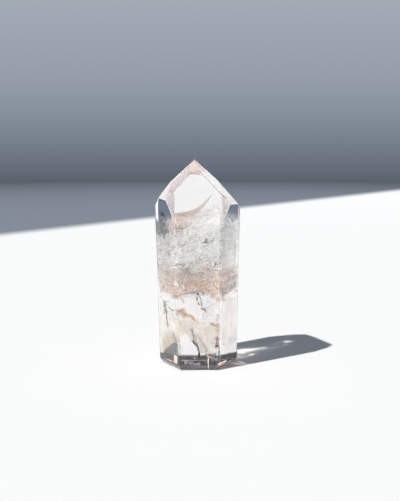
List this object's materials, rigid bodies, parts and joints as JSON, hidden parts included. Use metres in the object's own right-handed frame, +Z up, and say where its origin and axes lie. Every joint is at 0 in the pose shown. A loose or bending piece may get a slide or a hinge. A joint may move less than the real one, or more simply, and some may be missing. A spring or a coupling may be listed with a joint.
{
  "type": "phantom amethyst tower",
  "caption": "Free-standing polished amethyst point: a clear prism with a faceted tip, a flat bevelled foot, and a pale pink and tan phantom with milky veils inside.",
  "frame": {"origin": "on the flat foot, in the middle of the bounding box", "axes": "+Z up along the prism, -Y out of the wide front face, +X to the right seen from the front"},
  "size_m": [0.033, 0.0258, 0.08],
  "materials": {
    "clear_quartz": "polished"
  },
  "bodies": {
    "root": {"crystal_tower": "clear_quartz"}
  },
  "joints": []
}
